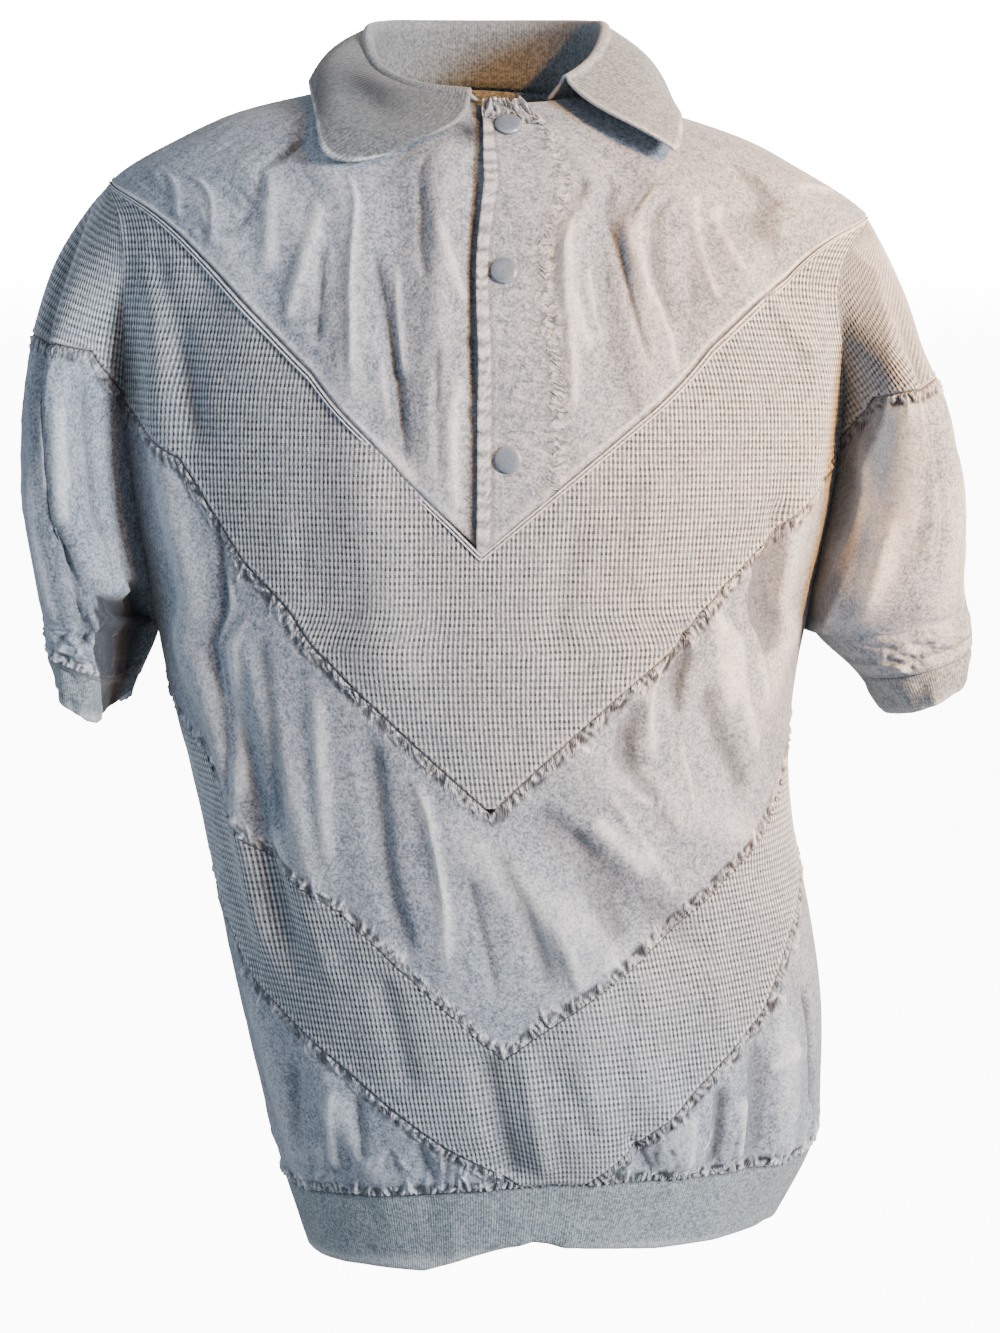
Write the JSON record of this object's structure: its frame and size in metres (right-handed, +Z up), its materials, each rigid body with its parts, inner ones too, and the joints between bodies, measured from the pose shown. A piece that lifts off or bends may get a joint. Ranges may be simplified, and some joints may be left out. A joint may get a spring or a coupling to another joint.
{
  "type": "shirt",
  "caption": "Short-sleeved knit polo shirt, worn and hollow, with chevrons of woven cloth and waffle knit, a snap opening, rib collar, cuffs and hem band",
  "frame": {"origin": "centre of the neck at the height of the shoulder neck points, in the hollow where a wearer's neck or a hanger's hook stands", "axes": "+Z up along the body, front faces -Y, +X to the wearer's left"},
  "size_m": [0.5687, 0.2472, 0.7579],
  "materials": {
    "washed_cotton": "stone-washed woven cotton, blue-grey",
    "waffle_knit": "stone-washed waffle knit, blue-grey",
    "rib_knit": "stone-washed flat rib knit, blue-grey",
    "snap_enamel": "enamelled snap cap, satin"
  },
  "bodies": {
    "root": {"back": "washed_cotton", "front_yoke_left": "washed_cotton", "front_yoke_right": "washed_cotton", "front_waffle_upper": "waffle_knit", "front_woven_middle": "washed_cotton", "front_waffle_lower": "waffle_knit", "front_woven_hem_left": "washed_cotton", "front_woven_hem_right": "washed_cotton", "yoke_piping": "washed_cotton", "neck_binding": "washed_cotton", "collar": "rib_knit", "cuff_left": "rib_knit", "cuff_right": "rib_knit", "hem_band": "rib_knit", "snap_1": "snap_enamel", "snap_2": "snap_enamel", "snap_3": "snap_enamel"}
  },
  "joints": []
}
